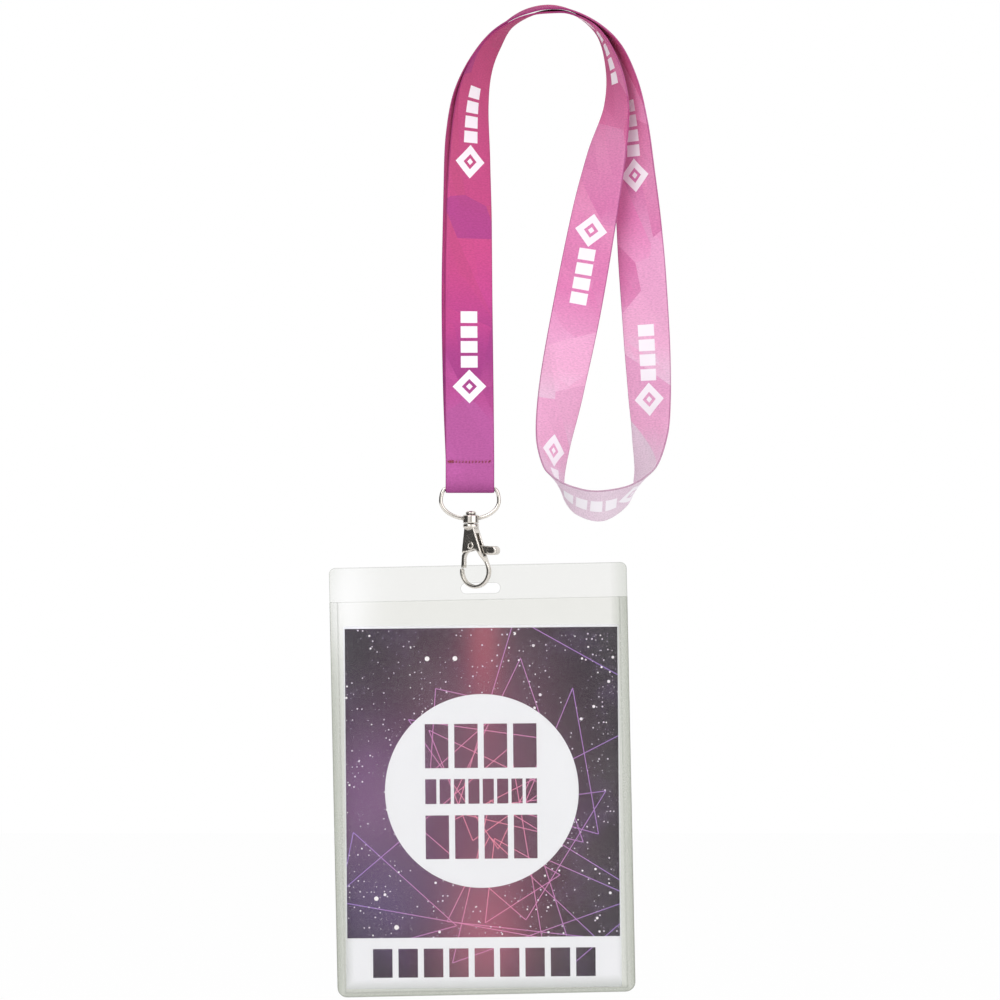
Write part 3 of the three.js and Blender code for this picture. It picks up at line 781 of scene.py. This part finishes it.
POUCH_WIDTH = 120
POUCH_HEIGHT = 173
POUCH_CENTRE_X = 1.05
SLOT_CENTRE_X = 2
SLOT_EDGE = 1.25
SLOT_LENGTH = 15.8
SLOT_HEIGHT = 3.9
POUCH_TOP = SLOT_EDGE + 7.5
POUCH_BOTTOM = POUCH_TOP - POUCH_HEIGHT
MOUTH = POUCH_TOP - 13.8
POUCH_LEFT = POUCH_CENTRE_X - POUCH_WIDTH / 2
POUCH_RIGHT = POUCH_CENTRE_X + POUCH_WIDTH / 2
SHEET = 0.4
WELD = 3.2
WELD_FOOT = 1.8
TOP_WELD = 2.2
FLANGE_BACK = -0.25
PANEL_BACK = -0.76
RIM_SHADE = 7             # how far in from the rim the vinyl looks greyer
TOP_CORNER = 2.6
BOTTOM_CORNER = 4
WEB_EDGE = SLOT_EDGE + 0.2   # the slot's upper edge, eased a little clear of the bow
CARD_REACH = POUCH_TOP - 11  # the card's top edge comes this high when it is slid up
SLOT_ROUND = (WEB_EDGE - SLOT_EDGE + SLOT_HEIGHT) / 2
EMBOSSED = ((POUCH_CENTRE_X - 28.2, 0), (POUCH_CENTRE_X + 26.2, 0))
EMBOSS_RADIUS = 3.4
BEAD = 0.3                # half width of a pressed bead
RIM_STEP = 1.2            # between places round a sheet's edge
CLEAR_OF_RIM = 0.18       # inner places keep this far from the edge's own

pouch_up = np.array(joints["card_slide"]["axis"], float)
pouch_right = np.array((pouch_up[2], 0, -pouch_up[0]))
pouch_place = joint_place("holder_swing")


def on_pouch(x, y, z):
    """A place given across, through and up the pouch, in the row frame."""
    return pouch_place + x * pouch_right + y * BACKWARD + z * pouch_up


def rounded_loop(left, right, bottom, top, lower, upper, step=2.0):
    """A rounded rectangle as a closed list of (x, z), points about step apart."""
    corners = (
        (right - lower, bottom + lower, lower, -90),
        (right - upper, top - upper, upper, 0),
        (left + upper, top - upper, upper, 90),
        (left + lower, bottom + lower, lower, 180),
    )
    turning = []
    for x, z, radius, start in corners:
        pieces = 8 if radius > 0.05 else 0
        for piece in range(pieces + 1):
            angle = math.radians(start + 90 * piece / max(pieces, 1))
            turning.append((x + radius * math.cos(angle), z + radius * math.sin(angle)))
    loop = []
    for here, there in zip(turning, turning[1:] + turning[:1]):
        pieces = max(1, round(math.dist(here, there) / step))
        for piece in range(pieces):
            t = piece / pieces
            loop.append((here[0] + (there[0] - here[0]) * t, here[1] + (there[1] - here[1]) * t))
    return loop


def circle(x, z, radius, count):
    loop = []
    for step in range(count):
        angle = math.tau * step / count
        loop.append((x + radius * math.cos(angle), z + radius * math.sin(angle)))
    return loop


def inset_from(loop_size, x, z):
    """How far inside a rectangle (left, right, bottom, top) each place lies."""
    left, right, bottom, top = loop_size
    return np.minimum(np.minimum(x - left, right - x), np.minimum(z - bottom, top - z))


def sheet_mesh(outline, holes, details, inside, surfaces, spacing=2.5):
    """A thin closed sheet: outline and holes as closed loops, details as lists of extra places,
    inside(x, z) true on the sheet, surfaces(x, z) giving its near and far Y."""
    places = []
    edges = []
    for loop in [outline, *holes]:
        start = len(places)
        places.extend(loop)
        edges.extend((start + i, start + (i + 1) % len(loop)) for i in range(len(loop)))
    rim = np.array(places)
    corner_low, corner_high = rim.min(axis=0), rim.max(axis=0)
    columns = np.arange(corner_low[0] + spacing / 2, corner_high[0], spacing)
    rows = np.arange(corner_low[1] + spacing / 2, corner_high[1], spacing)
    extra = [(x, z) for x in columns for z in rows]
    extra = np.array(extra + [place for loop in details for place in loop])
    keep = inside(extra[:, 0], extra[:, 1])
    nearest = np.array([np.min(np.hypot(*(rim - place).T)) for place in extra])
    extra = extra[keep & (nearest > CLEAR_OF_RIM)]
    vectors = [Vector(place) for place in places + extra.tolist()]
    flat, _, faces, *_ = delaunay_2d_cdt(vectors, edges, [], 1, 1e-5)
    flat = np.array([tuple(place) for place in flat])
    kept = []
    for face in faces:
        centre = flat[list(face)].mean(axis=0)
        if inside(centre[:1], centre[1:])[0]:
            a, b, c = (flat[corner] for corner in face[:3])
            turn = (b[0] - a[0]) * (c[1] - a[1]) - (b[1] - a[1]) * (c[0] - a[0])
            kept.append(tuple(face) if turn > 0 else tuple(reversed(face)))
    count = len(flat)
    near_and_far = surfaces(flat[:, 0], flat[:, 1])
    points = [on_pouch(x, y, z) for side in near_and_far for (x, z), y in zip(flat, side)]
    directed = dict.fromkeys(pair for face in kept for pair in zip(face, face[1:] + face[:1]))
    walls = [
        (there, here, here + count, there + count)
        for here, there in directed if (there, here) not in directed
    ]
    backs = [tuple(count + corner for corner in reversed(face)) for face in kept]
    return points, kept + backs + walls


def ridge(distance, centre, width):
    """A smooth bead of height 1 and the given half width."""
    return np.exp(-((distance - centre) / width) ** 2)


def smooth_rise(value, low, high):
    t = np.clip((value - low) / (high - low), 0, 1)
    return t * t * (3 - 2 * t)


def slot_outline(grow):
    """The slot's outline, grown all round by the given distance."""
    corner = SLOT_ROUND + grow - 0.02
    return rounded_loop(
        SLOT_CENTRE_X - SLOT_LENGTH / 2 - grow, SLOT_CENTRE_X + SLOT_LENGTH / 2 + grow,
        SLOT_EDGE - SLOT_HEIGHT - grow, WEB_EDGE + grow, corner, corner, 0.8,
    )


def slot_distance(x, z):
    """How far each place lies from the slot's edge, negative inside the slot."""
    reach = SLOT_LENGTH / 2 - SLOT_ROUND
    over = np.maximum(np.abs(x - SLOT_CENTRE_X) - reach, 0)
    return np.hypot(over, z - (WEB_EDGE - SLOT_ROUND)) - SLOT_ROUND


def ripple(x, z):
    """Slow waves of soft vinyl, within 1 either way."""
    return (np.sin(x / 17 + 0.6) * np.cos(z / 23) + 0.6 * np.sin((x + z) / 31 + 1.9)) / 1.6


def back_surfaces(x, z):
    rim = inset_from((POUCH_LEFT, POUCH_RIGHT, POUCH_BOTTOM, POUCH_TOP), x, z)
    from_slot = slot_distance(x, z)
    header = smooth_rise(z, CARD_REACH, CARD_REACH + 1.2)
    bead = 0.03 * ridge(from_slot, 0.75, BEAD) + 0.06 * ridge(from_slot, 2.2, BEAD)
    bead += 0.12 * ridge(rim, 2.6, BEAD)
    bead += 0.1 * ridge(POUCH_TOP - z, TOP_WELD, 0.25)
    for centre_x, centre_z in EMBOSSED:
        distance = np.hypot(x - centre_x, z - centre_z)
        inner = 0.08 * ridge(distance, EMBOSS_RADIUS * 0.55, BEAD)
        bead += 0.1 * ridge(distance, EMBOSS_RADIUS, BEAD) + inner
    wave = 0.05 * ripple(x, z) * smooth_rise(rim, 1, 12) * header * smooth_rise(from_slot, 2, 8)
    thin = 0.12 * (1 - smooth_rise(rim, 0, 0.5))
    bead = bead * header
    return -SHEET / 2 - bead + wave + thin, np.full_like(x, SHEET / 2) + wave - thin


def front_surfaces(x, z):
    sides = np.minimum(x - POUCH_LEFT, POUCH_RIGHT - x) / WELD
    foot = (z - POUCH_BOTTOM) / WELD_FOOT
    rim = np.minimum(sides, foot)
    rise = smooth_rise(rim, 0.86, 1.12)
    back = FLANGE_BACK + (PANEL_BACK - FLANGE_BACK) * rise
    edge = np.minimum(np.minimum(x - POUCH_LEFT, POUCH_RIGHT - x), z - POUCH_BOTTOM)
    bead = 0.14 * ridge(rim, 0.8, 0.08) + 0.07 * ridge(rim, 0.45, 0.1)
    wave = 0.09 * (ripple(x, z) - 1) * smooth_rise(edge, 4, 20)
    mouth = -0.25 * smooth_rise(z, MOUTH - 9, MOUTH) * smooth_rise(edge, 4, 30)
    thin = 0.12 * (1 - smooth_rise(edge, 0, 0.5))
    return back - SHEET - bead + wave + mouth + thin, back + wave + mouth


def vinyl_look(name, haze, clearness):
    """Clear soft vinyl: mostly see-through, faintly milky, greyer along the welds and where its
    surface slopes, with a painted highlight of glare near the left end of the mouth."""
    look = Look(name, Base_Color=srgb(238, 238, 236), Specular_IOR_Level=0.5)
    place = look.place()
    broad = look.noise(place, 38, 3)
    fine = look.noise(place, 900, 3, 0.6)
    look.set("Roughness", look.plus(0.1, look.times(broad, 0.18)))
    height = look.plus(look.times(broad, 6), look.times(fine, 0.12))
    look.bump(height, 0.0003, 0.35)
    _, facing, _ = look.split(look.node("TexCoord").outputs["Normal"])
    slope = look.minus(1, look.math("ABSOLUTE", facing))
    slope = look.math("MINIMUM", look.times(slope, 1.5), 0.22)
    x, z = look.measured(pouch_place, pouch_right, pouch_up)
    off_centre = look.math("ABSOLUTE", look.minus(x, POUCH_CENTRE_X))
    from_side = look.minus(POUCH_WIDTH / 2, off_centre)
    from_rim = look.math("MINIMUM", from_side, look.minus(z, POUCH_BOTTOM))
    welded = look.minus(1, look.times(from_rim, 1 / RIM_SHADE), clamp=True)
    # Painted highlight: a soft white glare spot near the left end of the mouth.
    lit = look.times(glow(look, x, z, POUCH_LEFT + 7, MOUTH, 11, 26), 0.9)
    tone = look.mix(welded, srgb(clearness, clearness, clearness - 1), srgb(236, 237, 234))
    tone = look.mix(lit, tone, srgb(255, 255, 255))
    through = look.mix(slope, tone, srgb(176, 178, 174))
    clear = look.node("BsdfTransparent", {"Color": through}).outputs[0]
    fresnel = look.node("LayerWeight", {"Blend": 0.22}).outputs["Fresnel"]
    clouded = look.plus(haze - 0.02, look.times(broad, 0.04))
    weight = look.plus(clouded, look.times(fresnel, 0.25), clamp=True)
    look.blend(weight, clear, look.surface.outputs[0])
    return look.material


def build_pouch(back_look, front_look):
    whole = (POUCH_LEFT, POUCH_RIGHT, POUCH_BOTTOM, POUCH_TOP)
    outline = rounded_loop(*whole, BOTTOM_CORNER, TOP_CORNER, RIM_STEP)
    # Extra places follow the beads and welds, where the sheets bend most.
    details = [
        rounded_loop(POUCH_LEFT + inset, POUCH_RIGHT - inset, POUCH_BOTTOM + inset, POUCH_TOP - inset,
                     max(BOTTOM_CORNER - inset, 0.5), max(TOP_CORNER - inset, 0.5), RIM_STEP)
        for inset in (0.4, 0.8, 1.6, 2.0, 2.3, 2.6, 2.9, 3.3, 4.0)
    ]
    for radius in (1.2, 1.5, 1.7, 1.9, 2.3, 2.8, 3.1, 3.4, 3.7, 4.1):
        details += [circle(x, z, radius, 28) for x, z in EMBOSSED]
    details += [slot_outline(grow) for grow in (0.35, 0.6, 0.8, 1.1, 1.6, 1.9, 2.2, 2.6)]

    def on_back(x, z):
        return (inset_from(whole, x, z) > 0.02) & (slot_distance(x, z) > 0)

    points, faces = sheet_mesh(outline, [slot_outline(0)], details, on_back, back_surfaces)
    add_piece("back_vinyl", "back_sheet", points, faces, back_look, "holder")

    lower = (POUCH_LEFT, POUCH_RIGHT, POUCH_BOTTOM, MOUTH)
    outline = rounded_loop(*lower, BOTTOM_CORNER, 0, RIM_STEP)
    details = [
        rounded_loop(POUCH_LEFT + share * WELD, POUCH_RIGHT - share * WELD,
                     POUCH_BOTTOM + share * WELD_FOOT, MOUTH - 0.4, 0.6, 0, RIM_STEP)
        for share in (0.12, 0.3, 0.45, 0.6, 0.7, 0.8, 0.88, 0.96, 1.05, 1.15, 1.35)
    ]

    def on_front(x, z):
        return inset_from(lower, x, z) > 0.02

    points, faces = sheet_mesh(outline, [], details, on_front, front_surfaces)
    add_piece("front_vinyl", "front_sheet", points, faces, front_look, "holder")


# -------- card

CARD_WIDTH = 111
CARD_HEIGHT = 146
CARD_THICKNESS = 0.36
CARD_TURN = math.radians(0.7)
CARD_CORNER = 0.6
ART_HALF_WIDTH = 54.9
ART_TOP = 72.0
ART_BOTTOM = -52.6
DISC_RADIUS = 39
DISC_CENTRE = (-0.2, 6.3)
# Rows of plain blocks, three on the disc and one at the foot: left, right, bottom, top, number of
# blocks and the gap between them.
BLOCK_ROWS = (
    (-23, 22, 15.6, 33.4, 4, 2.4),
    (-23, 22, 1.2, 11.2, 8, 1.3),
    (-23, 22, -21, -3.4, 4, 2.4),
    (-44.6, 45, -68.6, -57, 9, 2.4),
)
# Glows in the dark field: middle across and up, half width, half height, strength and colour.
GLOWS = (
    (0, 40, 24, 40, 0.4, srgb(120, 62, 100)),
    (1, 66, 7.5, 36, 0.8, srgb(170, 78, 98)),
    (0, -6, 34, 62, 0.6, srgb(134, 72, 104)),
    (0, -50, 17, 26, 0.66, srgb(186, 98, 124)),
    (-46, 2, 24, 32, 0.6, srgb(142, 92, 150)),
    (-40, -38, 26, 22, 0.5, srgb(96, 72, 128)),
)
# Dots from the largest to the smallest: spacing, size, share of cells and colour.
STAR_TIERS = (
    (12, 1.0, 0.6, srgb(250, 246, 250)),
    (5, 0.62, 0.9, srgb(244, 238, 246)),
    (2.1, 0.36, 0.9, srgb(222, 208, 228)),
    (1.1, 0.22, 0.6, srgb(150, 130, 162)),
)
TRIANGLES = 13
THIRD_TURN = 2.094        # in radians
LINE_HALF_WIDTH = 0.17

card_up = pouch_up * math.cos(CARD_TURN) + pouch_right * math.sin(CARD_TURN)
card_right = np.array((card_up[2], 0, -card_up[0]))
card_low, card_high = node_box("insert_card")
card_middle = (card_low + card_high) / 2


def block_row(look, x, z, row):
    """1 on the row's blocks, else 0."""
    left, right, bottom, top, count, gap = row
    pitch = (right - left + gap) / count
    phase = look.math("FLOORED_MODULO", look.minus(x, left), pitch)
    on_block = look.below(phase, pitch - gap)
    inside = look.times(look.within(x, left, right), look.within(z, bottom, top))
    return look.times(on_block, inside)


def glow(look, x, z, centre_x, centre_z, width, height):
    """A soft spot of light, 1 at its middle."""
    across = look.math("DIVIDE", look.minus(x, centre_x), width)
    up = look.math("DIVIDE", look.minus(z, centre_z), height)
    square = look.plus(look.times(across, across), look.times(up, up))
    return look.math("EXPONENT", look.times(square, -1))


def line_network(look, x, z):
    """Thin straight lines joining random places, as triangles drawn over the dark field."""
    chance = random.Random(31)
    lines = []
    for _ in range(TRIANGLES):
        centre = (chance.uniform(-42, 42), chance.uniform(-48, 30))
        size = chance.uniform(18, 52)
        first = chance.uniform(0, math.tau)
        corners = []
        for corner in range(3):
            angle = first + corner * THIRD_TURN + chance.uniform(-0.5, 0.5)
            corners.append((centre[0] + size * math.cos(angle), centre[1] + size * math.sin(angle)))
        for start, end in zip(corners, corners[1:] + corners[:1]):
            length = math.dist(start, end)
            along = ((end[0] - start[0]) / length, (end[1] - start[1]) / length)
            from_x = look.minus(x, start[0])
            from_z = look.minus(z, start[1])
            ahead = look.plus(look.times(from_x, along[0]), look.times(from_z, along[1]))
            off = look.minus(look.times(from_x, along[1]), look.times(from_z, along[0]))
            near = look.below(look.math("ABSOLUTE", off), LINE_HALF_WIDTH)
            lines.append(look.times(near, look.within(ahead, 0, length)))
    return look.most(lines)


def stars(look, x, z, spacing, size, share):
    """Small round dots scattered over the card in drifts; share of the fullest part's cells
    hold one."""
    cells = look.cells(look.join(x, z), spacing)
    red, green, _ = look.split(cells["Color"])
    radius = look.times(look.math("POWER", green, 2), size / spacing)
    dot = look.below(cells["Distance"], radius)
    cloud = look.noise(look.join(x, z), 0.07, 3)
    drift = look.times(look.minus(cloud, 0.36), 3, clamp=True)
    return look.times(dot, look.below(red, look.times(drift, share)))


def card_look():
    look = Look("printed_card", Roughness=0.45, Specular_IOR_Level=0.4)
    x, z = look.measured(card_middle, card_right, card_up)
    flat_place = look.join(x, z)
    cloud = look.noise(flat_place, 0.035, 5, 0.6)
    dust = look.noise(flat_place, 0.6, 4, 0.7)
    art = look.ramp(cloud, [
        (0.34, srgb(22, 12, 30)),
        (0.5, srgb(28, 16, 36)),
        (0.66, srgb(56, 40, 70)),
    ])
    for centre_x, centre_z, width, height, strength, colour in GLOWS:
        lit = look.times(glow(look, x, z, centre_x, centre_z, width, height), strength)
        art = look.mix(lit, art, colour)
    speck = look.times(look.minus(dust, 0.5), 0.25, clamp=True)
    art = look.mix(speck, art, srgb(220, 200, 220))
    ink = look.mix(glow(look, x, z, 2, -10, 34, 80), srgb(158, 124, 216), srgb(244, 140, 168))
    art = look.mix(look.times(line_network(look, x, z), 0.9), art, ink)
    block_fill = art
    for spacing, size, share, shade in STAR_TIERS:
        art = look.mix(stars(look, x, z, spacing, size, share), art, shade)
    from_x = look.minus(x, DISC_CENTRE[0])
    from_z = look.minus(z, DISC_CENTRE[1])
    square = look.plus(look.times(from_x, from_x), look.times(from_z, from_z))
    disc = look.below(look.math("SQRT", square), DISC_RADIUS)
    blocks = look.most([block_row(look, x, z, row) for row in BLOCK_ROWS])
    in_width = look.within(x, -ART_HALF_WIDTH, ART_HALF_WIDTH)
    in_art = look.times(in_width, look.within(z, ART_BOTTOM, ART_TOP))
    _, facing, _ = look.split(look.node("TexCoord").outputs["Normal"])
    in_front = look.below(facing, 0.3)
    in_art = look.times(in_art, in_front)
    blocks = look.times(blocks, in_front)
    blank = look.math("MAXIMUM", disc, look.minus(1, in_art))
    fibre = look.noise(flat_place, 3.0, 5, 0.7)
    paper = look.mix(fibre, srgb(233, 233, 240), srgb(246, 246, 252))
    printed = look.mix(blank, art, paper)
    look.set("Base Color", look.mix(blocks, printed, block_fill))
    look.bump(fibre, 0.00003, 0.4)
    return look.material


def build_card(look):
    loop = rounded_loop(
        -CARD_WIDTH / 2, CARD_WIDTH / 2, -CARD_HEIGHT / 2, CARD_HEIGHT / 2, CARD_CORNER, CARD_CORNER, 6,
    )
    half = CARD_THICKNESS / 2
    ease = 0.06
    points = []
    for y, inset in ((-half, ease), (-half + ease, 0), (half - ease, 0), (half, ease)):
        for place in loop:
            x, z = np.array(place) - inset * np.sign(place)
            points.append(card_middle + x * card_right + y * BACKWARD + z * card_up)
    faces = tube_faces(4, len(loop))
    add_piece("card_stock", "insert_card", points, faces, look, "card", smooth=False)


# -------- scene

FLOOR_DROP = 0.06         # metres from the pouch's foot to the floor
FLOOR_SIZE = 1.4
CAMERA_DISTANCE = 1.5
CAMERA_AIM = (-0.02089, -0.19714)    # X and Z in metres
FRAME_HEIGHT = 0.40404
LIGHT_TARGET = (0, 0, -0.2)
# How bright the studio is from its left to its right, as places from 0 to 1 and values.
WALLS = (
    (0.0, 0.05), (0.12, 0.06), (0.2, 0.95), (0.4, 1.0), (0.45, 0.25),
    (0.54, 0.2), (0.6, 1.0), (0.965, 0.95), (0.985, 0.15),
)


def build_floor():
    """A pale floor. The camera sees it nearly as white as the studio behind it."""
    height = cad_box[0][2] - FLOOR_DROP
    corners = ((-1, -1), (1, -1), (1, 1), (-1, 1))
    mesh = bpy.data.meshes.new("floor")
    mesh.from_pydata([(x * FLOOR_SIZE, y * FLOOR_SIZE, height) for x, y in corners], [], [(0, 1, 2, 3)])
    look = Look("floor", Base_Color=(0.9, 0.9, 0.9))
    grain = look.noise(look.place(), 40, 3)
    look.set("Roughness", look.plus(0.7, look.times(grain, 0.2)))
    white = look.node("Emission", {"Color": (1, 1, 1)}).outputs[0]
    seen = look.times(look.node("LightPath").outputs["Is Camera Ray"], 0.96)
    look.blend(seen, look.surface.outputs[0], white)
    mesh.materials.append(look.material)
    new_object("floor", mesh)


def add_light(name, place, size, power):
    data = bpy.data.lights.new(name, "AREA")
    data.size = size
    data.energy = power
    light = new_object(name, data)
    light.location = place
    light.rotation_euler = (Vector(LIGHT_TARGET) - Vector(place)).to_track_quat("-Z", "Y").to_euler()


def build_world():
    """White to the camera. Everything else sees soft white walls with darker gaps between them,
    which give the metal its contrast."""
    world = bpy.data.worlds.new("studio")
    world.use_nodes = True
    bpy.context.scene.world = world
    sky = Graph(world.node_tree)
    shown = sky.tree.nodes["Background"]
    sky.feed(shown.inputs["Color"], (1, 1, 1))
    x, _, _ = sky.split(sky.node("TexCoord").outputs["Generated"])
    across = sky.node("MapRange", {"Value": x, "From Min": -1}).outputs[0]
    walls = sky.ramp(across, [(place, (value, value, value)) for place, value in WALLS])
    lit = sky.node("Background", {"Color": walls, "Strength": 0.96}).outputs[0]
    seen = sky.node("LightPath").outputs["Is Camera Ray"]
    sky.blend(seen, lit, shown.outputs[0], "World Output")


def build_camera():
    """Level, straight in front of the object, at the distance where it fills the frame."""
    data = bpy.data.cameras.new("camera")
    data.sensor_width = 36
    data.lens = data.sensor_width * CAMERA_DISTANCE / FRAME_HEIGHT
    data.clip_start = 0.01
    camera = new_object("camera", data)
    camera.location = (CAMERA_AIM[0], -CAMERA_DISTANCE, CAMERA_AIM[1])
    camera.rotation_euler = (math.pi / 2, 0, 0)
    bpy.context.scene.camera = camera


build_strap(ribbon_look())
build_seam(thread_look())
build_hardware()
build_pouch(vinyl_look("back_vinyl", 0.03, 248), vinyl_look("front_vinyl", 0.02, 252))
build_card(card_look())
build_floor()
build_world()
build_camera()
add_light("key", (-0.7, -1.3, 0.6), 1.2, 9.8)
add_light("fill", (0.9, -1.1, 0.1), 1.2, 4.3)
add_light("top", (0, 0.2, 1.3), 1.0, 4.8)
bpy.context.scene.view_settings.view_transform = "Standard"
